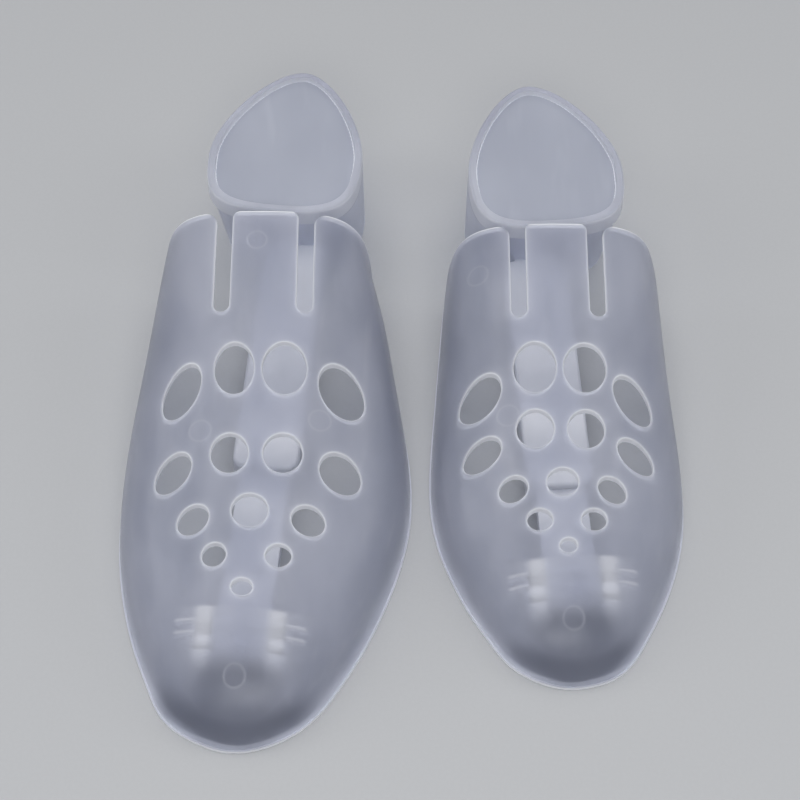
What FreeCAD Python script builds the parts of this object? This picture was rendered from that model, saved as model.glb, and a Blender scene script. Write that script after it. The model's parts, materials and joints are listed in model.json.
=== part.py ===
import FreeCAD, Part
import math
import os
import Sketcher

# Pair of adjustable shoe stretchers: a larger left-foot tree and a smaller right-foot tree.
# The toes point along -Y, the heels along +Y, and both trees stand on the plane Z = 0.
# The origin lies on that plane, midway along and across the pair.

sizes = {
    # toe shells
    "shell_wall": 1.8,
    "left_shell_length": 157.0,
    "right_shell_length": 135.5,
    "left_shell_rise": 47.0,
    "right_shell_rise": 44.0,
    "left_medial_half": 40.2,
    "right_medial_half": 37.2,
    "left_lateral_half": 46.7,
    "right_lateral_half": 38.9,
    "left_tip_lean": 2.8,
    "right_tip_lean": 1.3,
    "left_back_reach": 2.0,
    "right_back_reach": 1.2,
    "slot_width": 4.8,
    "left_slot_length": 32.6,
    "right_slot_length": 29.9,
    "left_slot_spacing": 24.9,
    "right_slot_spacing": 23.7,
    "left_tab_shift": 2.4,
    "right_tab_shift": 0.4,
    "wing_corner": 4.0,
    "tab_corner": 2.2,
    "opening_edge": 0.5,
    "lip_reach": 0.4,
    "lip_rise": 1.2,
    "foot_trim": 0.3,
    "gate_radius": 3.0,
    "gate_depth": 0.25,
    "left_gate_along": 15.0,
    "right_gate_along": 14.0,
    "left_gate_across": 2.6,
    "right_gate_across": 1.1,
    "left_gate_rise": 17.5,
    "right_gate_rise": 16.65,
    "gate_tilt": 27.0,
    # how the two trees stand beside each other
    "pair_gap": 6.1,
    "toe_stagger": 19.7,
    # hinge
    "left_hinge_along": 28.0,
    "right_hinge_along": 25.6,
    "hinge_across": 1.4,
    "hinge_rise": 11.0,
    "left_arm_splay": 4.5,
    "right_arm_splay": 3.2,
    "pin_diameter": 4.0,
    "pin_head_diameter": 6.4,
    "pin_head_length": 1.4,
    "pin_tip_length": 1.0,
    "pin_edge": 0.5,
    "pin_play": 0.05,
    "ear_radius": 5.5,
    "ear_thickness": 5.0,
    "ear_play": 0.3,
    "rib_thickness": 1.2,
    "rib_reach": 5.5,
    "rib_spacing": 3.2,
    "rib_foot_rise": 4.0,
    # notched bar
    "bar_width": 15.0,
    "bar_thickness": 5.0,
    "bar_end_corner": 2.5,
    "knuckle_radius": 4.9,
    "notch_pitch": 4.0,
    "notch_depth": 1.0,
    "notch_half_width": 1.0,
    "track_width": 8.6,
    "track_depth": 1.0,
    "track_end": 3.2,
    # guide sleeve
    "sleeve_width": 20.0,
    "sleeve_depth": 10.0,
    "sleeve_length": 86.2,
    "sleeve_corner": 4.0,
    "sleeve_edge": 1.2,
    "sleeve_end_wall": 2.5,
    "slide_play": 0.2,
    "left_short_front": 53.0,
    "right_short_front": 33.4,
    "left_slide_out": 4.0,
    "right_slide_out": 0.0,
    "bar_end_play": 0.5,
    "tongue_width": 12.0,
    "tongue_depth": 7.0,
    "barb_reach": 1.2,
    "barb_length": 3.0,
    # detent finger
    "nib_setback": 8.0,
    "nib_half_width": 1.5,
    "nib_play": 0.15,
    "finger_thickness": 1.2,
    "finger_width": 7.4,
    "finger_lift": 0.3,
    "finger_tip": 2.4,
    "finger_play": 0.3,
    "finger_head_start": 24.0,
    "finger_head_length": 6.0,
    "finger_head_width": 12.0,
    "finger_head_play": 0.05,
    # heel
    "heel_rise": 38.0,
    "heel_front": 81.1,
    "heel_depth": 59.8,
    "heel_medial_half": 28.7,
    "heel_lateral_half": 20.3,
    "heel_apex_across": 1.8,
    "heel_shoulder": 22.6,
    "heel_edge": 0.8,
    "collar_depth": 6.0,
    "collar_slope": 2.0,
    "base_front_setback": 9.5,
    "base_back_setback": 6.0,
    "base_medial_setback": 3.4,
    "base_lateral_setback": 0.2,
    "heel_wall": 2.2,
    "heel_floor": 2.2,
    "rim_width": 2.4,
    "rim_depth": 1.6,
    "cap_thickness": 2.0,
    "cap_play": 0.05,
    "cap_edge": 0.5,
    "ledge_width": 1.5,
    "socket_wall": 2.0,
    "socket_length": 10.0,
    "socket_play": 0.05,
    # cuts run past the faces they open by this much
    "overrun": 2.0,
}

notch_count = 13

# Toe shell stations from the tip to the back: share of the length, of the medial half width,
# of the lateral half width, of the rise, and the fullness of the arch.
station_shares = {
    "left": (
        (0.0083, 0.247, 0.104, 0.119, 0.60),
        (0.0338, 0.449, 0.285, 0.234, 0.61),
        (0.0637, 0.583, 0.406, 0.319, 0.62),
        (0.1236, 0.704, 0.553, 0.421, 0.63),
        (0.1847, 0.800, 0.672, 0.489, 0.64),
        (0.2790, 0.911, 0.817, 0.570, 0.66),
        (0.3750, 0.978, 0.926, 0.640, 0.68),
        (0.4750, 1.000, 0.991, 0.704, 0.71),
        (0.5410, 0.993, 1.000, 0.745, 0.73),
        (0.6430, 0.958, 0.970, 0.804, 0.76),
        (0.7640, 0.896, 0.906, 0.874, 0.80),
        (0.8920, 0.832, 0.830, 0.945, 0.84),
        (1.0000, 0.765, 0.747, 1.000, 0.88),
    ),
    "right": (
        (0.0081, 0.213, 0.138, 0.118, 0.60),
        (0.0325, 0.405, 0.321, 0.227, 0.61),
        (0.0686, 0.528, 0.464, 0.325, 0.62),
        (0.1048, 0.608, 0.551, 0.386, 0.63),
        (0.1779, 0.747, 0.707, 0.475, 0.64),
        (0.2517, 0.859, 0.829, 0.541, 0.65),
        (0.3277, 0.941, 0.926, 0.600, 0.67),
        (0.4052, 0.987, 0.982, 0.652, 0.70),
        (0.4841, 0.997, 1.000, 0.702, 0.72),
        (0.6465, 0.960, 0.972, 0.800, 0.77),
        (0.7749, 0.931, 0.936, 0.873, 0.81),
        (0.9004, 0.909, 0.901, 0.943, 0.85),
        (1.0000, 0.864, 0.865, 1.000, 0.88),
    ),
}

# Holes of each shell, as shares of its length: along from the tip, across toward the medial
# side, long half axis, short half axis; then the tilt of the long axis in degrees.
hole_shares = {
    "left": (
        (0.6726, 0.0344, 0.0525, 0.0372, 88),
        (0.6732, -0.0599, 0.0533, 0.0418, 90),
        (0.6338, 0.1325, 0.0567, 0.0329, 110),
        (0.6350, -0.1669, 0.0569, 0.0396, 67),
        (0.5013, 0.0376, 0.0382, 0.0347, 84),
        (0.5019, -0.0605, 0.0380, 0.0363, 95),
        (0.4720, 0.1414, 0.0411, 0.0299, 126),
        (0.4720, -0.1662, 0.0413, 0.0352, 49),
        (0.3904, -0.0032, 0.0333, 0.0309, 4),
        (0.3764, 0.1000, 0.0308, 0.0257, 141),
        (0.3745, -0.1096, 0.0312, 0.0273, 27),
        (0.3083, 0.0592, 0.0222, 0.0209, 156),
        (0.3064, -0.0573, 0.0238, 0.0205, 173),
        (0.2484, 0.0070, 0.0192, 0.0151, 4),
    ),
    "right": (
        (0.6546, -0.0598, 0.0593, 0.0466, 90),
        (0.6524, 0.0494, 0.0573, 0.0466, 86),
        (0.5963, -0.1793, 0.0579, 0.0393, 58),
        (0.5860, 0.1520, 0.0591, 0.0356, 118),
        (0.5107, -0.0627, 0.0432, 0.0404, 95),
        (0.5092, 0.0472, 0.0432, 0.0398, 80),
        (0.4642, -0.1771, 0.0447, 0.0325, 39),
        (0.4568, 0.1528, 0.0455, 0.0300, 137),
        (0.3889, -0.0074, 0.0337, 0.0306, 4),
        (0.3771, -0.1129, 0.0314, 0.0275, 29),
        (0.3742, 0.0982, 0.0322, 0.0263, 144),
        (0.3070, -0.0583, 0.0269, 0.0229, 172),
        (0.3070, 0.0568, 0.0270, 0.0227, 10),
        (0.2509, 0.0007, 0.0182, 0.0151, 4),
    ),
}

# The hollow runs past the back of the shell by this share of the last spacing.
back_reach_share = 0.5

# Fullness of the four quarters of the heel outline: medial back, lateral back, lateral front,
# medial front.
heel_shares = (0.40, 0.41, 0.78, 0.83)

# The widest point of the heel's foot moves back by this share of the front setback.
base_shoulder_share = 0.6

# Rounded edges of the heel, from the flat face to the side: share of the edge size that the
# outline moves in, and share of it that the level moves up.
edge_shares = ((1.0, 0.0), (0.293, 0.293), (0.0, 1.0))

doc = FreeCAD.newDocument("shoe_stretcher")
sheet = doc.addObject("Spreadsheet::Sheet", "Sizes")
for row, (alias, number) in enumerate(sizes.items(), 1):
    sheet.set("A%d" % row, alias)
    sheet.set("B%d" % row, str(number))
    sheet.setAlias("B%d" % row, alias)
doc.recompute()


class Size:
    # a length together with the sheet expression that drives it
    def __init__(self, text, number):
        self.text = text
        self.number = number

    def __add__(self, other):
        other = as_size(other)
        return Size("(%s + %s)" % (self.text, other.text), self.number + other.number)

    def __sub__(self, other):
        other = as_size(other)
        return Size("(%s - %s)" % (self.text, other.text), self.number - other.number)

    def __mul__(self, share):
        return Size("(%s * %s)" % (self.text, share), self.number * share)

    def __truediv__(self, share):
        return Size("(%s / %s)" % (self.text, share), self.number / share)

    def __neg__(self):
        return Size("(0 - %s)" % self.text, -self.number)


def as_size(amount):
    if isinstance(amount, Size):
        return amount
    return Size(repr(amount), amount)


def size(alias):
    return Size("Sizes." + alias, float(sheet.get(alias)))


zero = as_size(0)


def plane(body, role):
    for feature in body.Origin.OriginFeatures:
        if feature.Role == role:
            return feature


def new_body(name, frame):
    body = doc.addObject("PartDesign::Body", name)
    body.AllowCompound = True
    across, along, turn = frame
    body.Placement = FreeCAD.Placement(
        FreeCAD.Vector(across.number, along.number, 0),
        FreeCAD.Rotation(FreeCAD.Vector(0, 0, 1), turn.number),
    )
    body.setExpression("Placement.Base.x", across.text)
    body.setExpression("Placement.Base.y", along.text)
    if turn.number != 0:
        body.setExpression("Placement.Rotation.Angle", turn.text)
    return body


def new_sketch(body, name, role, lift, rise=None):
    # role XY: x across, y along; XZ: x across, y up; YZ: x along, y up
    sketch = body.newObject("Sketcher::SketchObject", name)
    sketch.AttachmentSupport = [(plane(body, role + "_Plane"), "")]
    sketch.MapMode = "FlatFace"
    if role == "XZ":
        lift = -lift
    sketch.setExpression("AttachmentOffset.Base.z", lift.text)
    if rise is not None:
        sketch.setExpression("AttachmentOffset.Base.y", rise.text)
    return sketch


def pin_point(sketch, geometry, point, place):
    for kind, amount in zip(("DistanceX", "DistanceY"), place):
        index = sketch.addConstraint(Sketcher.Constraint(kind, -1, 1, geometry, point, amount.number))
        sketch.setExpression("Constraints[%d]" % index, amount.text)


def vector(place):
    return FreeCAD.Vector(place[0].number, place[1].number, 0)


def outline(sketch, corners, centres=None):
    # closed outline through the corners; an edge with a centre is an arc, counterclockwise for
    # way 1 and clockwise for way -1
    centres = centres or {}
    edges = []
    ends = []
    for index, start in enumerate(corners):
        first = vector(start)
        last = vector(corners[(index + 1) % len(corners)])
        if index in centres:
            across, along, way = centres[index]
            centre = vector((across, along))
            ring = Part.Circle(centre, FreeCAD.Vector(0, 0, 1), (first - centre).Length)
            angles = [math.atan2(point.y - centre.y, point.x - centre.x) for point in (first, last)]
            ends.append((1, 2) if way > 0 else (2, 1))
            low, high = angles[:: way]
            edges.append(sketch.addGeometry(Part.ArcOfCircle(ring, low, high), False))
        else:
            ends.append((1, 2))
            edges.append(sketch.addGeometry(Part.LineSegment(first, last), False))
    for index, edge in enumerate(edges):
        before = (index - 1) % len(edges)
        sketch.addConstraint(
            Sketcher.Constraint("Coincident", edges[before], ends[before][1], edge, ends[index][0])
        )
        pin_point(sketch, edge, ends[index][0], corners[index])
    for index, centre in centres.items():
        start = vector(corners[index])
        end = vector(corners[(index + 1) % len(corners)])
        level = 1 if abs(end.x - start.x) > abs(end.y - start.y) else 0
        kind = ("DistanceX", "DistanceY")[level]
        amount = centre[level]
        number = sketch.addConstraint(
            Sketcher.Constraint(kind, -1, 1, edges[index], 3, amount.number)
        )
        sketch.setExpression("Constraints[%d]" % number, amount.text)


def circle(sketch, place, radius):
    edge = sketch.addGeometry(Part.Circle(vector(place), FreeCAD.Vector(0, 0, 1), radius.number), False)
    pin_point(sketch, edge, 3, place)
    index = sketch.addConstraint(Sketcher.Constraint("Radius", edge, radius.number))
    sketch.setExpression("Constraints[%d]" % index, radius.text)


def rectangle(sketch, low, high):
    outline(sketch, (low, (high[0], low[1]), high, (low[0], high[1])))


def ellipse(sketch, place, long_half, short_half, tilt):
    centre = vector(place)
    turn = FreeCAD.Rotation(FreeCAD.Vector(0, 0, 1), tilt)
    long_end = centre + turn.multVec(FreeCAD.Vector(long_half.number, 0, 0))
    short_end = centre + turn.multVec(FreeCAD.Vector(0, short_half.number, 0))
    edge = sketch.addGeometry(Part.Ellipse(long_end, short_end, centre), False)
    long_axis = sketch.GeometryCount
    sketch.exposeInternalGeometry(edge)
    pin_point(sketch, edge, 3, place)
    for axis, half in ((long_axis, long_half), (long_axis + 1, short_half)):
        index = sketch.addConstraint(Sketcher.Constraint("Distance", axis, half.number * 2))
        sketch.setExpression("Constraints[%d]" % index, (half * 2).text)
    line = sketch.Geometry[long_axis]
    heading = line.EndPoint - line.StartPoint
    angle = FreeCAD.Vector(1, 0, 0).getAngle(heading)
    if heading.y < 0:
        angle = -angle
    sketch.addConstraint(Sketcher.Constraint("Angle", long_axis, angle))


def curve(sketch, poles):
    # one smooth quarter drawn by four poles
    spline = Part.BSplineCurve()
    spline.buildFromPolesMultsKnots([vector(pole) for pole in poles], [4, 4], [0, 1], False, 3)
    edge = sketch.addGeometry(spline, False)
    first_pole = sketch.GeometryCount
    sketch.exposeInternalGeometry(edge)
    for index, pole in enumerate(poles):
        pin_point(sketch, first_pole + index, 3, pole)
    return edge


def arch(body, name, side, along, medial, lateral, rise, fullness):
    # one cross-section of a toe shell: two quarters that meet on the ridge, closed by the base line
    sketch = new_sketch(body, name, "XZ", along, -size("foot_trim"))
    medial = medial * side
    lateral = lateral * -side
    ridge = (zero, rise)
    first = curve(
        sketch,
        ((medial, zero), (medial, rise * fullness), (medial * fullness, rise), ridge),
    )
    last = curve(
        sketch,
        (ridge, (lateral * fullness, rise), (lateral, rise * fullness), (lateral, zero)),
    )
    line = sketch.addGeometry(
        Part.LineSegment(vector((lateral, zero)), vector((medial, zero))), False
    )
    sketch.addConstraint(Sketcher.Constraint("Coincident", line, 1, last, 2))
    sketch.addConstraint(Sketcher.Constraint("Coincident", line, 2, first, 1))
    return sketch


def arch_loft(tree, side, name, frame, inset, back_share):
    # smooth body through all stations of a toe shell, closed at the tip
    body = new_body("%s_%s" % (tree, name), frame)
    length = size(tree + "_shell_length")
    medial = size(tree + "_medial_half")
    lateral = size(tree + "_lateral_half")
    rise = size(tree + "_shell_rise")
    reach = size(tree + "_back_reach")
    stations = []
    for along_share, medial_share, lateral_share, rise_share, fullness in station_shares[tree]:
        stations.append(
            (
                inset + (length - inset) * along_share + (reach if along_share == 1 else zero),
                medial * medial_share - inset,
                lateral * lateral_share - inset,
                rise * rise_share - inset,
                fullness,
            )
        )
    if back_share > 0:
        before, last = stations[-2:]
        beyond = [end + (end - start) * back_share for start, end in zip(before[:4], last[:4])]
        stations.append((*beyond, last[4]))
    sections = []
    for index, station in enumerate(stations):
        sections.append(arch(body, "%s_%s_arch%d" % (tree, name, index), side, *station))
    tip = new_sketch(body, "%s_%s_tip" % (tree, name), "XZ", inset, -size("foot_trim"))
    lean = size(tree + "_tip_lean") * side
    point = tip.addGeometry(Part.Point(vector((lean, zero))), False)
    pin_point(tip, point, 1, (lean, zero))
    doc.recompute()
    loft = body.newObject("PartDesign::AdditiveLoft", "%s_%s_loft" % (tree, name))
    loft.Profile = sections[-1]
    loft.Sections = [(section, [""]) for section in reversed(sections[:-1])] + [(tip, ["Vertex1"])]
    doc.recompute()
    return body


def egg(body, name, side, lift, front, back, medial, lateral, shoulder):
    # one level of the heel outline, drawn by four quarters
    sketch = new_sketch(body, name, "XY", lift)
    apex = size("heel_apex_across") * side
    medial = medial * side
    lateral = lateral * -side
    quarters = (
        (medial, back, heel_shares[0]),
        (lateral, back, heel_shares[1]),
        (lateral, front, heel_shares[2]),
        (medial, front, heel_shares[3]),
    )
    for across, along, fullness in quarters:
        wide = apex + (across - apex) * fullness
        far = shoulder + (along - shoulder) * fullness
        curve(sketch, ((across, shoulder), (across, far), (wide, along), (apex, along)))
    return sketch


def pad(body, sketch, length, name, both_ways=False, reverse=False):
    feature = body.newObject("PartDesign::Pad", name)
    feature.Profile = sketch
    feature.setExpression("Length", length.text)
    feature.Midplane = both_ways
    feature.Reversed = reverse
    doc.recompute()
    return feature


def pocket(body, sketch, length, name, both_ways=False, reverse=False):
    before = body.Shape.Volume
    feature = body.newObject("PartDesign::Pocket", name)
    feature.Profile = sketch
    feature.setExpression("Length", length.text)
    feature.Midplane = both_ways
    feature.Reversed = reverse
    doc.recompute()
    if not feature.Shape.Volume < before:
        raise RuntimeError("%s removes nothing" % name)
    return feature


def cut(name, base, tool):
    result = doc.addObject("Part::Cut", name)
    result.Base = base
    result.Tool = tool
    doc.recompute()
    return result


def slab(tree, name, frame, lift, reach, reverse):
    # flat block over the whole plan of a toe shell, up or down from one level
    body = new_body("%s_%s" % (tree, name), frame)
    half = size(tree + "_medial_half") + size(tree + "_lateral_half")
    length = size(tree + "_shell_length")
    sketch = new_sketch(body, "%s_%s_plan" % (tree, name), "XY", lift)
    rectangle(sketch, (-half, -length), (half, length * 2))
    pad(body, sketch, reach, "%s_%s_block" % (tree, name), reverse=reverse)
    return body


overrun = size("overrun")
hinge_rise = size("hinge_rise")
ear_gap = size("bar_width") + size("ear_play") * 2
ear_span = ear_gap + size("ear_thickness") * 2


def make_ears(tree, side, frame):
    # two ears with a bore for the hinge pin and two ribs on the outside of each
    body = new_body(tree + "_ears", frame)
    radius = size("ear_radius")
    top = size(tree + "_shell_rise")
    sketch = new_sketch(body, tree + "_ear_side", "YZ", zero)
    outline(
        sketch,
        ((radius, top), (-radius, top), (-radius, hinge_rise), (radius, hinge_rise)),
        {2: (zero, hinge_rise, 1)},
    )
    pad(body, sketch, ear_span, tree + "_ear_block", both_ways=True)
    sketch = new_sketch(body, tree + "_ear_opening", "YZ", zero)
    rectangle(sketch, (-radius - overrun, zero), (radius + overrun, top + overrun))
    pocket(body, sketch, ear_gap, tree + "_ear_gap", both_ways=True)
    sketch = new_sketch(body, tree + "_ear_bore_circle", "YZ", zero)
    circle(sketch, (zero, hinge_rise), size("pin_diameter") / 2)
    pocket(body, sketch, ear_span + overrun, tree + "_ear_bore", both_ways=True)
    inner = ear_span / 2 - size("ear_thickness") / 2
    outer = ear_span / 2 + size("rib_reach")
    face = ear_span / 2
    foot = hinge_rise + size("rib_foot_rise")
    shelf = foot + size("rib_reach")
    for index, way in enumerate((-1, 1)):
        sketch = new_sketch(body, "%s_rib%d_side" % (tree, index), "XZ", size("rib_spacing") * way / 2)
        for hand in (-1, 1):
            outline(
                sketch,
                (
                    (inner * hand, foot),
                    (face * hand, foot),
                    (outer * hand, shelf),
                    (outer * hand, top),
                    (inner * hand, top),
                ),
            )
        pad(body, sketch, size("rib_thickness"), "%s_rib%d" % (tree, index), both_ways=True)
    return body


def make_openings(tree, side, frame):
    # upright cutters for the holes and for the two slots that free the spring tab
    body = new_body(tree + "_openings", frame)
    length = size(tree + "_shell_length")
    rear = length + size(tree + "_back_reach")
    reach = size(tree + "_shell_rise") + overrun
    sketch = new_sketch(body, tree + "_hole_outlines", "XY", zero)
    for along_share, across_share, long_share, short_share, tilt in hole_shares[tree]:
        ellipse(
            sketch,
            (length * (across_share * side), length * along_share),
            length * long_share,
            length * short_share,
            tilt if side > 0 else 180 - tilt,
        )
    pad(body, sketch, reach, tree + "_holes")
    sketch = new_sketch(body, tree + "_slot_outlines", "XY", zero)
    half = size("slot_width") / 2
    end = length - size(tree + "_slot_length") + half
    wing = size("wing_corner")
    tab = size("tab_corner")
    for hand in (-1, 1):
        middle = size(tree + "_slot_spacing") / 2 * hand - size(tree + "_tab_shift") * side
        outline(
            sketch,
            (
                (middle + (half + wing) * hand, rear),
                (middle + half * hand, rear - wing),
                (middle + half * hand, end),
                (middle - half * hand, end),
                (middle - half * hand, rear - tab),
                (middle - (half + tab) * hand, rear),
                (middle - (half + tab) * hand, rear + overrun),
                (middle + (half + wing) * hand, rear + overrun),
            ),
            {
                0: (middle + (half + wing) * hand, rear - wing, hand),
                2: (middle, end, -hand),
                4: (middle - (half + tab) * hand, rear - tab, hand),
            },
        )
    pad(body, sketch, reach, tree + "_slots")
    return body


def make_pin(tree, frame):
    # headed pin that fills the bores of both ears
    body = new_body(tree + "_hinge_pin", frame)
    shank = size("pin_diameter") / 2
    head = size("pin_head_diameter") / 2
    edge = size("pin_edge")
    seat = -ear_span / 2
    start = seat - size("pin_head_length")
    stop = ear_span / 2 + size("pin_tip_length")
    sketch = new_sketch(body, tree + "_pin_half", "XZ", zero, hinge_rise)
    outline(
        sketch,
        (
            (start, zero),
            (start, head - edge),
            (start + edge, head),
            (seat, head),
            (seat, shank),
            (stop - edge, shank),
            (stop, shank - edge),
            (stop, zero),
        ),
    )
    turned = body.newObject("PartDesign::Revolution", tree + "_pin_turned")
    turned.Profile = sketch
    turned.ReferenceAxis = (sketch, ["H_Axis"])
    turned.Angle = 360
    doc.recompute()
    return body


def make_bar(tree, frame, short_front):
    # flat bar with a knuckle at the hinge and a notched track along its underside
    body = new_body(tree + "_rack_bar", frame)
    half = size("bar_width") / 2
    corner = size("bar_end_corner")
    under = hinge_rise - size("bar_thickness") / 2
    end = short_front + size("sleeve_length") - size("sleeve_end_wall") - size("bar_end_play")
    sketch = new_sketch(body, tree + "_bar_plan", "XY", under)
    outline(
        sketch,
        (
            (-half, zero),
            (half, zero),
            (half, end - corner),
            (half - corner, end),
            (-half + corner, end),
            (-half, end - corner),
        ),
        {
            2: (half - corner, end - corner, 1),
            4: (-half + corner, end - corner, 1),
        },
    )
    pad(body, sketch, size("bar_thickness"), tree + "_bar_strip")
    sketch = new_sketch(body, tree + "_knuckle_circle", "YZ", zero)
    circle(sketch, (zero, hinge_rise), size("knuckle_radius"))
    pad(body, sketch, size("bar_width"), tree + "_knuckle", both_ways=True)
    sketch = new_sketch(body, tree + "_knuckle_bore_circle", "YZ", zero)
    circle(sketch, (zero, hinge_rise), size("pin_diameter") / 2 + size("pin_play"))
    pocket(body, sketch, size("bar_width") + overrun, tree + "_knuckle_bore", both_ways=True)
    first = short_front + size("nib_setback")
    travel = size("notch_pitch") * (notch_count - 1)
    track_half = size("track_width") / 2
    sketch = new_sketch(body, tree + "_track_plan", "XY", under - overrun)
    rectangle(
        sketch,
        (-track_half, first - size("track_end")),
        (track_half, first + travel + size("track_end")),
    )
    pocket(body, sketch, size("track_depth") + overrun, tree + "_track", reverse=True)
    floor = under + size("track_depth")
    notch = size("notch_half_width")
    sketch = new_sketch(body, tree + "_notch_side", "YZ", zero)
    outline(
        sketch,
        (
            (first - notch, under),
            (first + notch, under),
            (first + notch, floor),
            (first, floor + size("notch_depth")),
            (first - notch, floor),
        ),
    )
    single = pocket(body, sketch, size("track_width"), tree + "_notch", both_ways=True)
    row = body.newObject("PartDesign::LinearPattern", tree + "_notches")
    row.Originals = [single]
    row.Direction = (plane(body, "Y_Axis"), [""])
    row.setExpression("Length", travel.text)
    row.Occurrences = notch_count
    body.Tip = row
    doc.recompute()
    return body


def socket_end(front):
    return front + size("heel_front") + size("base_front_setback") + size("socket_length")


def make_sleeve(tree, frame, front):
    # guide sleeve, open at the front, with a tongue that snaps into the heel
    body = new_body(tree + "_slide_sleeve", frame)
    half = size("sleeve_width") / 2
    corner = size("sleeve_corner")
    back = front + size("sleeve_length")
    under = hinge_rise - size("sleeve_depth") / 2
    sketch = new_sketch(body, tree + "_sleeve_plan", "XY", under)
    outline(
        sketch,
        (
            (-half + corner, front),
            (half - corner, front),
            (half, front + corner),
            (half, back - corner),
            (half - corner, back),
            (-half + corner, back),
            (-half, back - corner),
            (-half, front + corner),
        ),
        {
            1: (half - corner, front + corner, 1),
            3: (half - corner, back - corner, 1),
            5: (-half + corner, back - corner, 1),
            7: (-half + corner, front + corner, 1),
        },
    )
    block = pad(body, sketch, size("sleeve_depth"), tree + "_sleeve_block")
    rims = []
    for number, edge in enumerate(block.Shape.Edges, 1):
        box = edge.BoundBox
        if box.ZLength < box.DiagonalLength / 100:
            rims.append("Edge%d" % number)
    rounding = body.newObject("PartDesign::Fillet", tree + "_sleeve_edges")
    rounding.Base = (block, rims)
    rounding.setExpression("Radius", size("sleeve_edge").text)
    doc.recompute()
    play = size("slide_play")
    across = size("bar_width") / 2 + play
    tall = size("bar_thickness") / 2 + play
    sketch = new_sketch(body, tree + "_channel_end", "XZ", front - overrun)
    rectangle(sketch, (-across, hinge_rise - tall), (across, hinge_rise + tall))
    depth = size("sleeve_length") - size("sleeve_end_wall") + overrun
    pocket(body, sketch, depth, tree + "_channel")
    tongue_half = size("tongue_width") / 2
    tongue_under = hinge_rise - size("tongue_depth") / 2
    root = back - size("sleeve_end_wall") / 2
    barb_start = socket_end(front) + size("socket_play")
    sketch = new_sketch(body, tree + "_tongue_plan", "XY", tongue_under)
    reach = tongue_half + size("barb_reach")
    barb_end = barb_start + size("barb_length")
    outline(
        sketch,
        (
            (-tongue_half, root),
            (tongue_half, root),
            (tongue_half, barb_start),
            (reach, barb_start),
            (tongue_half, barb_end),
            (-tongue_half, barb_end),
            (-reach, barb_start),
            (-tongue_half, barb_start),
        ),
    )
    pad(body, sketch, size("tongue_depth"), tree + "_tongue")
    nib = front + size("nib_setback")
    head = front + size("finger_head_start")
    window = size("finger_width") / 2 + size("finger_play")
    sketch = new_sketch(body, tree + "_window_plan", "XY", under - overrun)
    rectangle(
        sketch,
        (-window, nib - size("finger_tip") - size("finger_play")),
        (window, head),
    )
    floor = hinge_rise - size("bar_thickness") / 2
    pocket(body, sketch, floor - under + overrun, tree + "_window", reverse=True)
    head_play = size("finger_head_play")
    seat = size("finger_head_width") / 2 + head_play
    sketch = new_sketch(body, tree + "_head_seat_plan", "XY", under - overrun)
    rectangle(
        sketch,
        (-seat, head - head_play),
        (seat, head + size("finger_head_length") + head_play),
    )
    depth = size("finger_lift") + size("finger_thickness") + overrun
    pocket(body, sketch, depth, tree + "_head_seat", reverse=True)
    return body


def make_finger(tree, frame, front):
    # springy finger with a nib that sits in one notch of the bar
    body = new_body(tree + "_detent_spring", frame)
    under = hinge_rise - size("sleeve_depth") / 2 + size("finger_lift")
    half = size("finger_width") / 2
    wide = size("finger_head_width") / 2
    nib = front + size("nib_setback")
    tip = nib - size("finger_tip")
    head = front + size("finger_head_start")
    end = head + size("finger_head_length")
    sketch = new_sketch(body, tree + "_finger_plan", "XY", under)
    outline(
        sketch,
        (
            (-half, tip),
            (half, tip),
            (half, head),
            (wide, head),
            (wide, end),
            (-wide, end),
            (-wide, head),
            (-half, head),
        ),
    )
    pad(body, sketch, size("finger_thickness"), tree + "_finger_leaf")
    nib_half = size("nib_half_width")
    floor = hinge_rise - size("bar_thickness") / 2 + size("track_depth")
    crest = floor + size("notch_depth") - size("nib_play")
    slope = Size(
        "(Sizes.notch_depth / Sizes.notch_half_width)",
        size("notch_depth").number / size("notch_half_width").number,
    )
    shoulder = crest - Size(
        "(%s * %s)" % (nib_half.text, slope.text), nib_half.number * slope.number
    )
    sketch = new_sketch(body, tree + "_nib_side", "YZ", zero)
    outline(
        sketch,
        (
            (nib - nib_half, under),
            (nib + nib_half, under),
            (nib + nib_half, shoulder),
            (nib, crest),
            (nib - nib_half, shoulder),
        ),
    )
    pad(body, sketch, size("finger_width"), tree + "_nib", both_ways=True)
    return body


def heel_level(body, name, side, share, lift, front, inset):
    # outline of the heel between its foot, share 0, and its top, share 1, moved in by the inset
    start = front + size("heel_front")
    rest = 1 - share
    forward = size("base_front_setback") * rest
    return egg(
        body,
        name,
        side,
        lift,
        start + forward + inset,
        start + size("heel_depth") - size("base_back_setback") * rest - inset,
        size("heel_medial_half") - size("base_medial_setback") * rest - inset,
        size("heel_lateral_half") - size("base_lateral_setback") * rest - inset,
        start + size("heel_shoulder") + forward * base_shoulder_share,
    )


def egg_loft(body, name, levels):
    doc.recompute()
    loft = body.newObject("PartDesign::AdditiveLoft", name)
    loft.Profile = levels[0]
    loft.Sections = [(level, [""]) for level in levels[1:]]
    loft.Ruled = True
    doc.recompute()
    return loft


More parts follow.
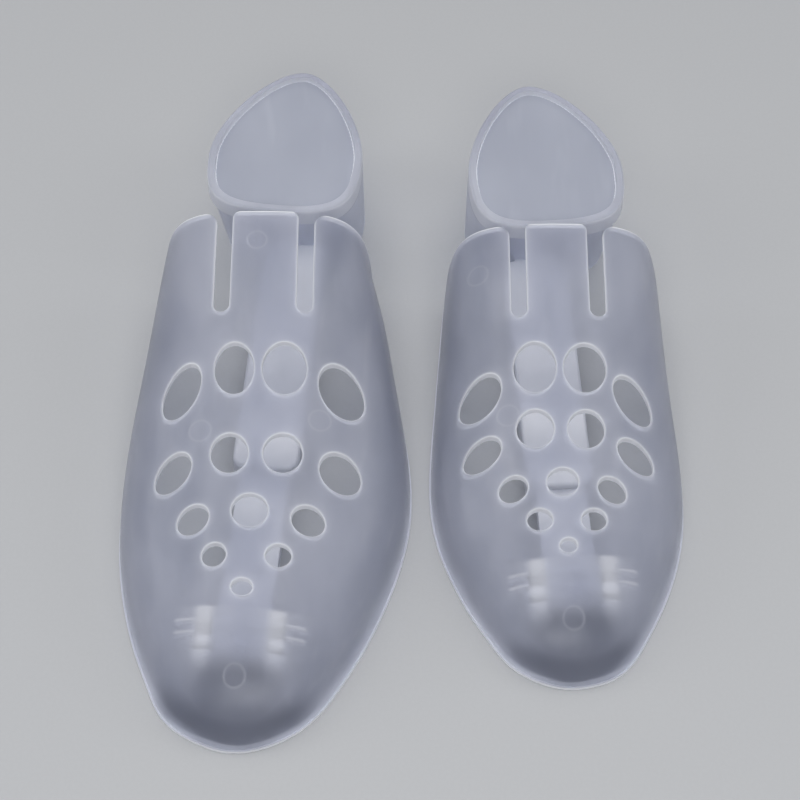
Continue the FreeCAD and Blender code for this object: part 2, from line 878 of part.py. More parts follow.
def make_heel(tree, side, frame, front):
    # tapered cup with a collar, a raised rim, a seat for the cap and a socket for the tongue
    rise = size("heel_rise")
    seat = rise - size("rim_depth") - size("cap_thickness")
    block = new_body(tree + "_heel_block", frame)
    edge = size("heel_edge")
    collar = rise - size("collar_depth")
    walls = [(edge * lift, edge * inset) for inset, lift in edge_shares]
    walls.append((collar - size("collar_slope"), zero))
    steps = [(lift.number / rise.number, lift, inset) for lift, inset in walls]
    steps.append((1, collar, zero))
    steps += [(1, rise - edge * lift, edge * inset) for inset, lift in reversed(edge_shares)]
    levels = []
    for index, (share, lift, inset) in enumerate(steps):
        name = "%s_heel_level%d" % (tree, index)
        levels.append(heel_level(block, name, side, share, lift, front, inset))
    egg_loft(block, tree + "_heel_taper", levels)
    core = new_body(tree + "_heel_core", frame)
    low = heel_level(
        core, tree + "_hollow_base", side, 0, size("heel_floor"), front, size("heel_wall")
    )
    shelf = size("rim_width") + size("ledge_width")
    high = heel_level(core, tree + "_hollow_top", side, 1, seat, front, shelf)
    egg_loft(core, tree + "_heel_hollow", [low, high])
    sketch = heel_level(core, tree + "_seat_plan", side, 1, seat, front, size("rim_width"))
    pad(core, sketch, rise - seat + overrun, tree + "_cap_seat")
    socket = new_body(tree + "_heel_socket", frame)
    wall = size("socket_wall")
    half = size("tongue_width") / 2
    tall = size("tongue_depth") / 2
    play = size("socket_play")
    start = front + size("heel_front")
    end = socket_end(front)
    sketch = new_sketch(socket, tree + "_socket_end", "XZ", start)
    rectangle(
        sketch,
        (-half - wall, hinge_rise - tall - wall),
        (half + wall, hinge_rise + tall + wall),
    )
    pad(socket, sketch, end - start, tree + "_socket_tube", reverse=True)
    mouth = new_body(tree + "_heel_mouth", frame)
    sketch = new_sketch(mouth, tree + "_mouth_end", "XZ", start)
    rectangle(
        sketch,
        (-half - play, hinge_rise - tall - play),
        (half + play, hinge_rise + tall + play),
    )
    pad(mouth, sketch, end - start + overrun, tree + "_mouth_bore", reverse=True)
    hollow = cut(tree + "_heel_room", core, socket)
    shell = cut(tree + "_heel_walls", block, hollow)
    return cut(tree + "_heel_cup", shell, mouth)


def make_cap(tree, side, frame, front):
    # flat plate set into the rim of the heel
    body = new_body(tree + "_heel_cap", frame)
    seat = size("heel_rise") - size("rim_depth") - size("cap_thickness")
    inset = size("rim_width") + size("cap_play")
    sketch = heel_level(body, tree + "_cap_plan", side, 1, seat, front, inset)
    plate = pad(body, sketch, size("cap_thickness"), tree + "_cap_plate")
    top = (seat + size("cap_thickness")).number
    rims = []
    for number, edge in enumerate(plate.Shape.Edges, 1):
        if edge.BoundBox.ZMin > top - size("cap_edge").number:
            rims.append("Edge%d" % number)
    rounding = body.newObject("PartDesign::Fillet", tree + "_cap_rounding")
    rounding.Base = (plate, rims)
    rounding.setExpression("Radius", size("cap_edge").text)
    doc.recompute()
    return body


def make_gate(tree, side, frame):
    # flat round mark on the toe where the plastic was let into the mould
    across, along, turn = frame
    place = (
        across + size(tree + "_gate_across") * side,
        along + size(tree + "_gate_along"),
        zero,
    )
    body = new_body(tree + "_gate", place)
    rise = size(tree + "_gate_rise")
    body.Placement = FreeCAD.Placement(
        FreeCAD.Vector(place[0].number, place[1].number, rise.number),
        FreeCAD.Rotation(FreeCAD.Vector(1, 0, 0), size("gate_tilt").number),
    )
    body.setExpression("Placement.Base.z", rise.text)
    body.setExpression("Placement.Rotation.Angle", size("gate_tilt").text)
    sketch = new_sketch(body, tree + "_gate_circle", "XY", -size("gate_depth"))
    circle(sketch, (zero, zero), size("gate_radius"))
    pad(body, sketch, overrun, tree + "_gate_disc")
    return body


def upright(face):
    # true where the face stands upright all over, which leaves out the tilted gate mark
    low_u, high_u, low_v, high_v = face.ParameterRange
    middle = (low_v + high_v) / 2
    spots = [low_u + (high_u - low_u) * share for share in (0.1, 0.35, 0.6, 0.85)]
    return all(abs(face.normalAt(u, middle).z) < math.sin(math.radians(1)) for u in spots)


def soften(tree, pierced):
    # rounds the outer edges of the holes, of the slots and of the tab between them
    faces = pierced.Shape.Faces
    ridge = size(tree + "_shell_rise").number - size("shell_wall").number
    skins = sorted(faces, key=lambda face: -face.Area * (face.BoundBox.ZMax > ridge))[:2]
    low = size("lip_rise").number
    owners = {}
    for face in faces:
        for edge in face.Edges:
            owners.setdefault(edge.hashCode(), []).append(face)
    picked = []
    for number, edge in enumerate(pierced.Shape.Edges, 1):
        sides = owners[edge.hashCode()]
        walls = [face for face in sides if not any(face.isSame(skin) for skin in skins)]
        if len(walls) == 1 and len(sides) == 2 and upright(walls[0]) and walls[0].BoundBox.ZMin > low:
            picked.append(number)
    rounding = doc.addObject("Part::Fillet", tree + "_soft_edges")
    rounding.Base = pierced
    radius = size("opening_edge").number
    rounding.Edges = [(number, radius, radius) for number in picked]
    doc.recompute()
    return rounding


def make_shell(tree, side, shell_frame, arm_frame):
    # hollow arch with a lip round its foot and ears inside, pierced by the holes and the slots
    outer = arch_loft(tree, side, "outer", shell_frame, zero, 0)
    inner = arch_loft(tree, side, "inner", shell_frame, size("shell_wall"), back_reach_share)
    wide = arch_loft(tree, side, "wide", shell_frame, -size("lip_reach"), 0)
    rise = size(tree + "_shell_rise")
    upper = slab(tree, "upper", shell_frame, size("lip_rise"), rise + overrun, False)
    ground = slab(tree, "ground", shell_frame, zero, overrun, True)
    ears = make_ears(tree, side, arm_frame)
    openings = make_openings(tree, side, shell_frame)
    gate = make_gate(tree, side, shell_frame)
    arched = doc.addObject("Part::Fuse", tree + "_shell_form")
    arched.Base = outer
    arched.Tool = cut(tree + "_lip", wide, upper)
    doc.recompute()
    core = cut(tree + "_shell_room", inner, ears)
    hollow = cut(tree + "_shell_walls", arched, core)
    marked = cut(tree + "_shell_marked", hollow, gate)
    pierced = cut(tree + "_shell_pierced", marked, openings)
    return cut(tree + "_toe_shell", soften(tree, pierced), ground)


pair_width = (
    size("left_medial_half")
    + size("left_lateral_half")
    + size("pair_gap")
    + size("right_lateral_half")
    + size("right_medial_half")
)
pair_length = (
    size("lip_reach")
    + size("left_hinge_along")
    + size("left_short_front")
    + size("left_slide_out")
    + size("heel_front")
    + size("heel_depth")
)
toe_line = -pair_length / 2 + size("lip_reach")
tree_places = {
    "left": (-1, -pair_width / 2 + size("left_medial_half"), toe_line),
    "right": (1, pair_width / 2 - size("right_medial_half"), toe_line + size("toe_stagger")),
}

nodes = []
for tree, (side, across, along) in tree_places.items():
    shell_frame = (across, along, zero)
    arm_frame = (
        across + size("hinge_across") * side,
        along + size(tree + "_hinge_along"),
        size(tree + "_arm_splay") * side,
    )
    short_front = size(tree + "_short_front")
    front = short_front + size(tree + "_slide_out")
    nodes.append((tree + "_toe_shell", make_shell(tree, side, shell_frame, arm_frame)))
    nodes.append((tree + "_hinge_pin", make_pin(tree, arm_frame)))
    nodes.append((tree + "_rack_bar", make_bar(tree, arm_frame, short_front)))
    nodes.append((tree + "_slide_sleeve", make_sleeve(tree, arm_frame, front)))
    nodes.append((tree + "_detent_spring", make_finger(tree, arm_frame, front)))
    nodes.append((tree + "_heel_cup", make_heel(tree, side, arm_frame, front)))
    nodes.append((tree + "_heel_cap", make_cap(tree, side, arm_frame, front)))

doc.recompute()
for item in doc.Objects:
    if "Invalid" in item.State or "Error" in item.State:
        raise RuntimeError("%s did not build" % item.Label)

os.makedirs("parts", exist_ok=True)
for name, item in nodes:
    item.Label = name
    shape = item.Shape
    if shape.isNull() or not shape.isValid() or len(shape.Solids) != 1:
        raise RuntimeError("%s is not one valid solid" % name)
    shape.exportStep("parts/%s.step" % name)
    print(name, "%.0f mm3" % shape.Volume)
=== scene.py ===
import bpy
import json
import math
import numpy
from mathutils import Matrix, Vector

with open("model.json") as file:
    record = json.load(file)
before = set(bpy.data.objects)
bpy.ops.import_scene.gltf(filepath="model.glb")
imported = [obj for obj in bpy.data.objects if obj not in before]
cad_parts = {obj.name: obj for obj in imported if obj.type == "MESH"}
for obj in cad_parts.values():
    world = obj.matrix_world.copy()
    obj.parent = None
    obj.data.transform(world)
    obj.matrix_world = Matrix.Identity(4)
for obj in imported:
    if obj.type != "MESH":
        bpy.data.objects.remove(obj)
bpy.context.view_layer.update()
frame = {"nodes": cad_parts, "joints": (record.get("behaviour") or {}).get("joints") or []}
print("frame loaded:", len(frame["nodes"]), "nodes")

mm = 0.001
noiseSpread = (0.3, 0.7)  # the part of a noise that is spread from end to end
hinges = {joint["name"]: joint for joint in frame["joints"] if joint["type"] == "hinge"}

# in mm: the toe's tip and which way its big toe lies, then, measured from the tip,
# the middles of the slots, the round ends of the slots and the back edge
trees = {
    "left": {
        "toe": (-44.35, -112.75),
        "side": -1,
        "slots": (-10.05, 14.85),
        "slotEnd": 126.8,
        "rear": 159.0,
    },
    "right": {
        "toe": (47.35, -93.05),
        "side": 1,
        "slots": (-12.25, 11.45),
        "slotEnd": 108.0,
        "rear": 136.7,
    },
}


def point(values):
    return tuple(v * mm for v in values)


class Graph:  # short way to add and join shader nodes
    def __init__(self, name):
        self.material = bpy.data.materials.new(name)
        self.material.use_nodes = True
        self.tree = self.material.node_tree
        self.shader = self.tree.nodes["Principled BSDF"]
        self.spot = self.add("ShaderNodeTexCoord").outputs["Object"]
        split = self.add("ShaderNodeSeparateXYZ")
        self.tree.links.new(self.spot, split.inputs[0])
        self.x, self.y, self.z = split.outputs

    def add(self, kind, **values):
        node = self.tree.nodes.new(kind)
        for key, value in values.items():
            setattr(node, key, value)
        return node

    def join(self, value, socket):
        if isinstance(value, bpy.types.NodeSocket):
            self.tree.links.new(value, socket)
        else:
            socket.default_value = value

    def math(self, operation, *values):
        node = self.add("ShaderNodeMath", operation=operation)
        for index, value in enumerate(values):
            self.join(value, node.inputs[index])
        return node.outputs[0]

    # smooth step from start at low to end at high
    def fade(self, value, low, high, start=0.0, end=1.0):
        node = self.add("ShaderNodeMapRange", interpolation_type="SMOOTHSTEP")
        for index, amount in enumerate((value, low, high, start, end)):
            self.join(amount, node.inputs[index])
        return node.outputs[0]

    def noise(self, scale, detail=3.0, rough=0.5, stretch=(1.0, 1.0, 1.0)):
        place = self.add("ShaderNodeMapping")
        self.join(self.spot, place.inputs["Vector"])
        place.inputs["Scale"].default_value = stretch
        node = self.add("ShaderNodeTexNoise")
        self.join(place.outputs["Vector"], node.inputs["Vector"])
        node.inputs["Scale"].default_value = scale
        node.inputs["Detail"].default_value = detail
        node.inputs["Roughness"].default_value = rough
        return node.outputs["Fac"]

    def blend(self, share, first, second):
        node = self.add("ShaderNodeMix", data_type="RGBA")
        self.join(share, node.inputs["Factor"])
        self.join(first, node.inputs["A"])
        self.join(second, node.inputs["B"])
        return node.outputs["Result"]

    def local(self, hinge):  # coordinates across and along the arm from its hinge, as three values
        acrossX, acrossY, _ = hinge["axis"]
        place = self.add("ShaderNodeMapping", vector_type="TEXTURE")
        self.join(self.spot, place.inputs["Vector"])
        place.inputs["Location"].default_value = hinge["pos_m"]
        place.inputs["Rotation"].default_value = (0.0, 0.0, math.atan2(acrossY, acrossX))
        split = self.add("ShaderNodeSeparateXYZ")
        self.join(place.outputs["Vector"], split.inputs[0])
        return split.outputs

    def facing(self):  # the way the wall faces, as three values
        split = self.add("ShaderNodeSeparateXYZ")
        self.join(self.add("ShaderNodeNewGeometry").outputs["True Normal"], split.inputs[0])
        return split.outputs

    def band(self, value, middle, half, soft):  # 1 within half of the middle, fading over soft
        away = self.math("ABSOLUTE", self.math("SUBTRACT", value, middle * mm))
        return self.fade(away, (half + soft) * mm, max(half - soft, 0.0) * mm)

    def away(self, across, along):  # length of a level step
        square = self.math("MULTIPLY", along, along)
        return self.math("SQRT", self.math("MULTIPLY_ADD", across, across, square))

    def ring(self, centre, radius, width):
        middleX, middleY = point(centre)
        across = self.math("SUBTRACT", self.x, middleX)
        along = self.math("SUBTRACT", self.y, middleY)
        return self.band(self.away(across, along), radius, width, width)

    def oval(self, hole):  # metres outside an upright oval hole
        middle, turn = hole["middle"], hole["turn"]
        steps = []
        for half, heading in zip(hole["halves"], (turn, turn + math.pi / 2)):
            way = math.cos(heading) / half, math.sin(heading) / half
            start = -(middle[0] * way[0] + middle[1] * way[1])
            step = self.math("MULTIPLY_ADD", self.y, way[1], start)
            steps.append(self.math("MULTIPLY_ADD", self.x, way[0], step))
        reach = sum(hole["halves"]) / 2
        return self.math("MULTIPLY_ADD", self.away(*steps), reach, -reach)

    def slot(self, middle, end, half):  # metres outside a slot that runs back from its round end
        across = self.math("SUBTRACT", self.x, middle * mm)
        along = self.math("MINIMUM", self.math("SUBTRACT", self.y, end * mm), 0.0)
        return self.math("SUBTRACT", self.away(across, along), half * mm)

    def bump(self, height, strength, distance, normal=None):
        node = self.add("ShaderNodeBump")
        node.inputs["Strength"].default_value = strength
        node.inputs["Distance"].default_value = distance * mm
        self.join(height, node.inputs["Height"])
        if normal is not None:
            self.join(normal, node.inputs["Normal"])
        return node.outputs["Normal"]


frostLook = {  # what all the frosted pieces share, depths in mm
    "cloudDetail": 3.0,
    "cloudRough": 0.55,
    "streakDetail": 2.0,
    "streakRough": 0.6,
    "streakStretch": (1.0, 0.18, 1.0),
    "streakRange": (0.55, 0.8),
    "grainDetail": 2.0,
    "grainDepth": 0.05,
    "waveDetail": 1.0,
    "waveDepth": 0.2,
}


def frostedPlastic(name, look, zones=None):
    # milky moulded plastic: where deep is 1 it is whiter and less clear, which carries the faint
    # mould marks and the painted highlights and glow; where the painted-shade mask is 1 it is
    # darker, which is painted shade
    g = Graph(name)
    cloud = g.noise(
        look["cloudScale"], frostLook["cloudDetail"], frostLook["cloudRough"], look["cloudStretch"]
    )
    streak = g.noise(
        look["streakScale"],
        frostLook["streakDetail"],
        frostLook["streakRough"],
        frostLook["streakStretch"],
    )
    tint = g.blend(g.fade(cloud, *noiseSpread), look["thinTint"], look["paleTint"])
    streaked = g.fade(streak, *frostLook["streakRange"], 0.0, look["streakShare"])
    tint = g.blend(streaked, tint, look["streakAndHighlightTint"])
    # deep carries the faint mould marks together with painted highlights and glow; the second mask
    # is painted shade
    deep, paintedShade = zones(g) if zones else (0.0, 0.0)
    tint = g.blend(paintedShade, tint, look["paintedShadeTint"])
    tint = g.blend(deep, tint, look["streakAndHighlightTint"])
    g.join(tint, g.shader.inputs["Base Color"])
    grain = g.noise(look["grainScale"], frostLook["grainDetail"])
    g.join(g.fade(grain, *noiseSpread, *look["roughness"]), g.shader.inputs["Roughness"])
    clear = g.fade(cloud, *noiseSpread, *look["clear"])
    clear = g.math("MULTIPLY", clear, g.fade(deep, 0.0, 1.0, 1.0, look["markAndHighlightClear"]))
    g.join(clear, g.shader.inputs["Transmission Weight"])
    g.shader.inputs["IOR"].default_value = look["bend"]
    wave = g.noise(look["waveScale"], frostLook["waveDetail"])
    skin = g.bump(wave, look["waveBump"], frostLook["waveDepth"])
    skin = g.bump(grain, look["grainBump"], frostLook["grainDepth"], skin)
    g.join(skin, g.shader.inputs["Normal"])
    letThrough(g, look["lampShare"], look["lampTint"])
    return g


def letThrough(g, share, tint):
    # lamps reach what lies behind the milky wall
    clear = g.add("ShaderNodeBsdfTransparent")
    clear.inputs["Color"].default_value = tint
    mix = g.add("ShaderNodeMixShader")
    ray = g.add("ShaderNodeLightPath").outputs["Is Shadow Ray"]
    g.join(g.math("MULTIPLY", ray, share), mix.inputs["Fac"])
    g.join(g.shader.outputs[0], mix.inputs[1])
    g.join(clear.outputs[0], mix.inputs[2])
    g.join(mix.outputs[0], g.tree.nodes["Material Output"].inputs["Surface"])


shellLook = {
    "thinTint": (0.52, 0.54, 0.625, 1.0),
    "paleTint": (0.59, 0.605, 0.685, 1.0),
    # white of the streaks and mould marks, also used for painted highlights and glow
    "streakAndHighlightTint": (0.92, 0.925, 0.955, 1.0),
    # painted shade on the dome and round the nose
    "paintedShadeTint": (0.27, 0.285, 0.35, 1.0),
    "cloudScale": 60.0,
    "cloudStretch": (1.0, 0.5, 1.0),
    "streakScale": 130.0,
    "streakShare": 0.18,
    "grainScale": 2600.0,
    "grainBump": 0.12,
    "waveScale": 90.0,
    "waveBump": 0.10,
    "roughness": (0.28, 0.36),
    "clear": (0.77, 0.70),
    "markAndHighlightClear": 0.2,
    "bend": 1.3,
    "lampShare": 0.56,
    "lampTint": (0.92, 0.94, 0.98, 1.0),
}

markLook = {  # faint round mould marks in mm: toward the big toe, from the tip, radius, line
    "left": (
        (2.6, 15.0, 3.0, 0.35),
        (14.7, 86.0, 3.2, 0.3),
        (-20.1, 89.5, 3.2, 0.3),
        (0.0, 148.7, 3.0, 0.3),
    ),
    "right": (
        (1.1, 14.0, 3.0, 0.35),
        (-16.4, 73.7, 3.2, 0.3),
        (-24.4, 121.2, 3.0, 0.3),
    ),
    "share": 0.22,
}

earGlowLook = {  # painted glow on the skin over the ears and ribs, and painted light on their upright plates, mm from the hinge
    "across": 10.3,
    "half": 2.4,
    "soft": 1.6,
    "back": (6.0, 4.6),
    "front": (-16.0, -3.0),
    "share": 0.26,
    "glowHalf": 6.0,
    "glowShare": 0.22,
    "ribMiddle": 15.5,
    "ribHalf": 3.2,
    "ribSoft": 0.9,
    "ribGap": 1.6,
    "ribThin": 0.5,
    "ribShare": 0.42,
    "plates": (19.0, 7.0),
    "plateLimit": 0.004,
}

domeShadeLook = {  # painted shade: a darker hollow before the hinge, and a dark arc that runs round the nose
    "start": (-7.0, -13.0),
    "across": (17.0, 7.0),
    "share": 0.62,
    "noseStart": (-10.0, -20.0),
    "noseLow": (1.2, 4.5),
    "noseHigh": (15.0, 8.0),
    "noseShare": 0.85,
}

# what counts as a hole's wall, and the painted highlights on the walls and lips of holes, slots,
# back edge and foot in mm
edgeHighlightLook = {
    "digits": 6,
    "wallLimit": 0.05,
    "fewest": 40,
    "fitLimit": 0.05,
    "shiftLimit": 0.3,
    "wall": (0.4, 0.1),
    "line": (0.9, 0.2),
    "lineShare": 0.30,
    "halo": (3.4, 0.4),
    "haloShare": 0.11,
    "backLine": 0.4,
    "slotHalf": 2.4,
    "foot": (1.3, 0.9),
}


def findHoles(node):  # an oval through each upright wall that closes on itself
    mesh = node.data
    spots = [tuple(round(v, edgeHighlightLook["digits"]) for v in vertex.co) for vertex in mesh.vertices]
    home = {spot: spot for spot in spots}

    def root(spot):
        while home[spot] != spot:
            home[spot] = home[home[spot]]
            spot = home[spot]
        return spot

    walls = [face for face in mesh.polygons if abs(face.normal.z) < edgeHighlightLook["wallLimit"]]
    for face in walls:
        first, *others = (spots[index] for index in face.vertices)
        for other in others:
            home[root(other)] = root(first)
    groups = {}
    for face in walls:
        corners = [spots[index] for index in face.vertices]
        groups.setdefault(root(corners[0]), set()).update(corners)
    holes = []
    for group in groups.values():
        if len(group) < edgeHighlightLook["fewest"]:
            continue
        plan = numpy.array(sorted(group))[:, :2]
        middle = (plan.min(axis=0) + plan.max(axis=0)) / 2
        x, y = ((plan - middle) / mm).T
        terms = numpy.stack((x * x, x * y, y * y, x, y), axis=1)
        fit, _, rank, _ = numpy.linalg.lstsq(terms, numpy.ones(len(x)), rcond=None)
        if rank < len(fit) or numpy.abs(terms @ fit - 1.0).max() > edgeHighlightLook["fitLimit"]:
            continue
        bend = numpy.array(((fit[0], fit[1] / 2), (fit[1] / 2, fit[2])))
        shift = numpy.linalg.solve(bend, -fit[3:] / 2)
        pulls, ways = numpy.linalg.eigh(bend / (1.0 + shift @ bend @ shift))
        if pulls.min() <= 0.0 or numpy.abs(shift).max() > edgeHighlightLook["shiftLimit"]:
            continue
        holes.append({
            "middle": tuple(float(v) for v in middle + shift * mm),
            "halves": tuple(float(v) ** -0.5 * mm for v in pulls),
            "turn": math.atan2(float(ways[1][0]), float(ways[0][0])),
        })
    return holes


def shellZones(tree):
    facts = trees[tree]
    holes = findHoles(frame["nodes"][tree + "_toe_shell"])
    print(tree, "holes found:", len(holes))

    def zones(g):
        x, y, _ = g.local(hinges[tree + "_arm_hinge"])
        across = g.math("ABSOLUTE", x)
        along = g.math(
            "MULTIPLY",
            g.fade(y, *point(earGlowLook["back"])),
            g.fade(y, *point(earGlowLook["front"])),
        )
        # painted glow: a whiter band on the skin over each ear, with a wider soft glow round it
        core = g.band(across, earGlowLook["across"], earGlowLook["half"], earGlowLook["soft"])
        core = g.math("MULTIPLY", core, earGlowLook["share"])
        glow = g.band(across, earGlowLook["across"], earGlowLook["glowHalf"], earGlowLook["glowHalf"])
        earGlow = g.math("ADD", core, g.math("MULTIPLY", glow, earGlowLook["glowShare"]))
        earGlow = g.math("MULTIPLY", earGlow, along)
        gap = g.math("ABSOLUTE", y)
        # painted glow over the ribs beside the ears
        ribGlow = g.math(
            "MULTIPLY",
            g.band(across, earGlowLook["ribMiddle"], earGlowLook["ribHalf"], earGlowLook["ribSoft"]),
            g.band(gap, earGlowLook["ribGap"], earGlowLook["ribThin"], earGlowLook["ribThin"]),
        )
        total = g.math("MAXIMUM", earGlow, g.math("MULTIPLY", ribGlow, earGlowLook["ribShare"]))
        # painted light: the upright plates of the ears and ribs are made white, so no shade shows
        # on them
        wide, deep = point(earGlowLook["plates"])
        plates = g.math("LESS_THAN", g.math("ABSOLUTE", g.facing()[2]), earGlowLook["plateLimit"])
        plates = g.math("MULTIPLY", plates, g.math("LESS_THAN", across, wide))
        plates = g.math("MULTIPLY", plates, g.math("LESS_THAN", gap, deep))
        total = g.math("MAXIMUM", total, plates)
        # painted highlight: a thin bright line along the foot of the shell
        total = g.math("MAXIMUM", total, g.fade(g.z, *point(edgeHighlightLook["foot"])))
        toeX, toeY = facts["toe"]
        for sideways, back, radius, line in markLook[tree]:
            centre = (toeX + sideways * facts["side"], toeY + back)
            mark = g.math("MULTIPLY", g.ring(centre, radius, line), markLook["share"])
            total = g.math("MAXIMUM", total, mark)
        # painted highlights: whiter lines and a soft halo round the holes, slots and back edge,
        # and whiter hole walls
        off = g.math("SUBTRACT", (toeY + facts["rear"] - edgeHighlightLook["backLine"]) * mm, g.y)
        for hole in holes:
            off = g.math("MINIMUM", off, g.oval(hole))
        for middle in facts["slots"]:
            slot = g.slot(toeX + middle, toeY + facts["slotEnd"], edgeHighlightLook["slotHalf"])
            off = g.math("MINIMUM", off, slot)
        line = g.math("MULTIPLY", g.fade(off, *point(edgeHighlightLook["line"])), edgeHighlightLook["lineShare"])
        halo = g.math("MULTIPLY", g.fade(off, *point(edgeHighlightLook["halo"])), edgeHighlightLook["haloShare"])
        total = g.math("MAXIMUM", total, g.math("ADD", line, halo))
        total = g.math("MAXIMUM", total, g.fade(off, *point(edgeHighlightLook["wall"])))
        # painted shade over the hollow before the hinge and round the nose
        hollowShade = g.math(
            "MULTIPLY",
            g.fade(y, *point(domeShadeLook["start"])),
            g.fade(across, *point(domeShadeLook["across"])),
        )
        noseShade = g.math(
            "MULTIPLY",
            g.fade(g.z, *point(domeShadeLook["noseLow"])),
            g.fade(g.z, *point(domeShadeLook["noseHigh"])),
        )
        noseShade = g.math("MULTIPLY", noseShade, g.fade(y, *point(domeShadeLook["noseStart"])))
        paintedShade = g.math(
            "MAXIMUM",
            g.math("MULTIPLY", hollowShade, domeShadeLook["share"]),
            g.math("MULTIPLY", noseShade, domeShadeLook["noseShare"]),
        )
        return total, paintedShade

    return zones


armLook = dict(
    shellLook,
    thinTint=(0.69, 0.70, 0.745, 1.0),
    paleTint=(0.75, 0.755, 0.79, 1.0),
    clear=(0.12, 0.06),
    roughness=(0.34, 0.42),
    cloudScale=45.0,
    streakShare=0.1,
)

heelLook = dict(
    shellLook,
    thinTint=(0.70, 0.715, 0.79, 1.0),
    paleTint=(0.75, 0.765, 0.83, 1.0),
    # painted shade on the rim toward the back
    paintedShadeTint=(0.50, 0.50, 0.60, 1.0),
    clear=(0.60, 0.52),
    roughness=(0.40, 0.50),
    lampShare=0.75,
    cloudScale=40.0,
    streakShare=0.1,
    # painted light on the collar, painted shade on the rim toward the back
    collar=(31.0, 32.4),
    collarShare=0.5,
    sideLimit=0.5,
    topLimit=0.9,
    rimShadeFade={"left": (160.0, 196.0), "right": (136.0, 172.0)},
    rimShare=0.6,
)

capLook = dict(
    heelLook,
    thinTint=(0.46, 0.48, 0.55, 1.0),
    paleTint=(0.49, 0.51, 0.58, 1.0),
    clear=(0.34, 0.28),
    # where the painted highlight on the rounded edge lies
    edge=(0.03, 0.975),
    edgeSide=(-0.45, -0.1),
)


def heelZones(tree):
    def zones(g):  # painted light on a collar round the upper walls, and painted shade on the rim, darker toward the back
        top = g.facing()[2]
        sides = g.math("LESS_THAN", top, heelLook["sideLimit"])
        collar = g.math("MULTIPLY", g.fade(g.z, *point(heelLook["collar"])), sides)
        _, y, _ = g.local(hinges[tree + "_arm_hinge"])
        level = g.math("GREATER_THAN", top, heelLook["topLimit"])
        rimShade = g.math("MULTIPLY", g.fade(y, *point(heelLook["rimShadeFade"][tree])), level)
        collar = g.math("MULTIPLY", collar, heelLook["collarShare"])
        return collar, g.math("MULTIPLY", rimShade, heelLook["rimShare"])

    return zones


def capZones(g):  # painted highlight on the rounded edge at the back and the sides
    _, side, top = g.facing()
    low, high = capLook["edge"]
    edge = g.math("MULTIPLY", g.math("GREATER_THAN", top, low), g.math("LESS_THAN", top, high))
    return g.math("MULTIPLY", edge, g.fade(side, *capLook["edgeSide"])), 0.0


arm = frostedPlastic("armFrost", armLook)
cap = frostedPlastic("heelCapFrost", capLook, capZones)
for tree in trees:
    finish = {
        "toe_shell": frostedPlastic(tree + "ShellFrost", shellLook, shellZones(tree)),
        "hinge_pin": arm,
        "rack_bar": arm,
        "slide_sleeve": arm,
        "detent_spring": arm,
        "heel_cup": frostedPlastic(tree + "HeelFrost", heelLook, heelZones(tree)),
        "heel_cap": cap,
    }
    for piece, graph in finish.items():
        frame["nodes"][tree + "_" + piece].material_slots[0].material = graph.material
print("finishes set")

stage = {
    "floorColor": (0.50, 0.506, 0.517, 1.0),
    "floorPale": (0.508, 0.514, 0.525, 1.0),
    "floorHalf": 4.0,
    "floorLevel": -0.0002,
    "floorRoughness": 0.85,
    "fibreScale": 900.0,
    "fibreDetail": 2.0,
    "worldColor": (0.80, 0.82, 0.86, 1.0),
    "worldStrength": 0.26,
    "backdropLift": 0.18,
}

floorPlace = (0.0, 0.0, stage["floorLevel"])
bpy.ops.mesh.primitive_plane_add(size=stage["floorHalf"] * 2, location=floorPlace)
floor = bpy.context.object
floor.name = "studioFloor"
ground = Graph("studioFloorPaper")
fibre = ground.noise(stage["fibreScale"], stage["fibreDetail"])
shade = ground.blend(ground.fade(fibre, *noiseSpread), stage["floorColor"], stage["floorPale"])
ground.join(shade, ground.shader.inputs["Base Color"])
ground.shader.inputs["Roughness"].default_value = stage["floorRoughness"]
floor.data.materials.append(ground.material)

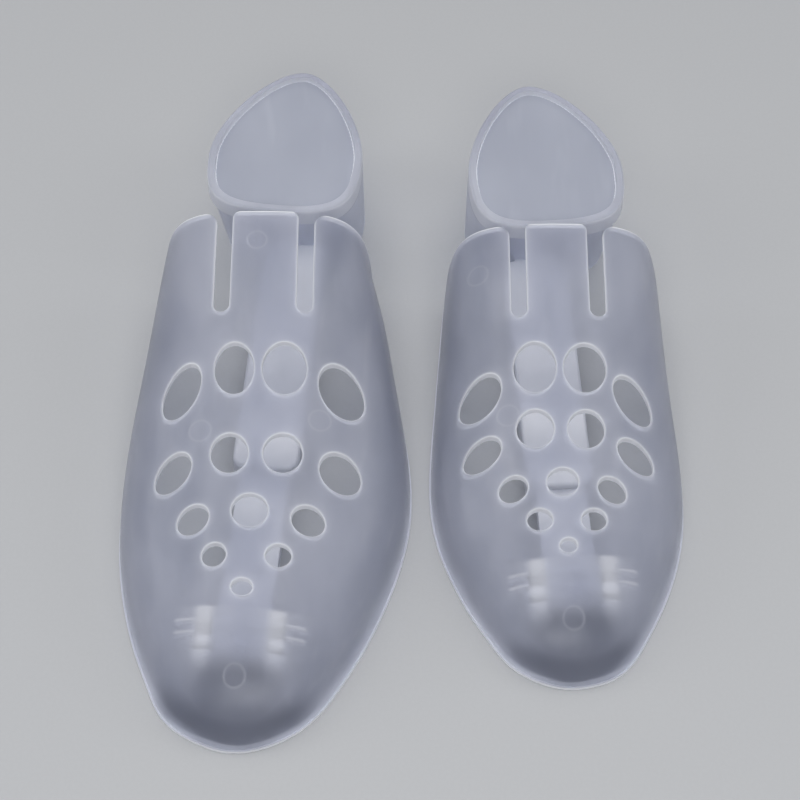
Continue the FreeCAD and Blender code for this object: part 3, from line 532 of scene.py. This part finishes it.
world = bpy.data.worlds.new("studioWorld")
bpy.context.scene.world = world
world.use_nodes = True
sky = world.node_tree.nodes["Background"]
sky.inputs["Color"].default_value = stage["worldColor"]
lift = world.node_tree.nodes.new("ShaderNodeMath")  # only the backdrop itself is seen paler
lift.operation = "MULTIPLY_ADD"
seen = world.node_tree.nodes.new("ShaderNodeLightPath")
world.node_tree.links.new(seen.outputs["Is Camera Ray"], lift.inputs[0])
lift.inputs[1].default_value = stage["backdropLift"]
lift.inputs[2].default_value = stage["worldStrength"]
world.node_tree.links.new(lift.outputs[0], sky.inputs["Strength"])

lamps = {  # place and aim in metres, size, watts, colour
    "leftSoftbox": ((-0.85, 0.05, 0.55), (0.0, 0.0, 0.02), (0.4, 0.6), 1.5, (0.95, 0.97, 1.0)),
    "rightSoftbox": ((0.85, 0.05, 0.55), (0.0, 0.0, 0.02), (0.4, 0.6), 1.2, (0.95, 0.97, 1.0)),
    "frontSoftbox": ((0.0, -0.75, 0.75), (0.0, 0.0, 0.02), (0.6, 0.3), 3.2, (1.0, 1.0, 1.0)),
}


def aim(thing, target):
    heading = Vector(target) - thing.location
    thing.rotation_euler = heading.to_track_quat("-Z", "Y").to_euler()


overhead = {"place": (0.0, 0.35, 0.95), "strength": 1.36, "angle": 58.0}  # one even, wide light
data = bpy.data.lights.new("overheadLight", "SUN")
data.energy = overhead["strength"]
data.angle = math.radians(overhead["angle"])
lamp = bpy.data.objects.new("overheadLight", data)
bpy.context.scene.collection.objects.link(lamp)
lamp.location = overhead["place"]
aim(lamp, (0.0, 0.0, 0.0))

for name, (place, target, spread, watts, color) in lamps.items():
    data = bpy.data.lights.new(name, "AREA")
    data.shape = "RECTANGLE"
    data.size, data.size_y = spread
    data.energy = watts
    data.color = color
    lamp = bpy.data.objects.new(name, data)
    bpy.context.scene.collection.objects.link(lamp)
    lamp.location = place
    aim(lamp, target)

camera = {  # place and target in mm, nearest distance in metres
    "place": (-0.85, -361.07, 526.87),
    "target": (-0.85, -5.45, 19.0),
    "lens": 92.07,
    "sensor": 36.0,
    "nearest": 0.01,
}
data = bpy.data.cameras.new("photoCamera")
data.lens = camera["lens"]
data.sensor_width = camera["sensor"]
data.clip_start = camera["nearest"]
eye = bpy.data.objects.new("photoCamera", data)
bpy.context.scene.collection.objects.link(eye)
eye.location = point(camera["place"])
aim(eye, point(camera["target"]))
bpy.context.scene.camera = eye
bpy.context.scene.view_settings.view_transform = "Standard"
print("stage, lamps and camera set")
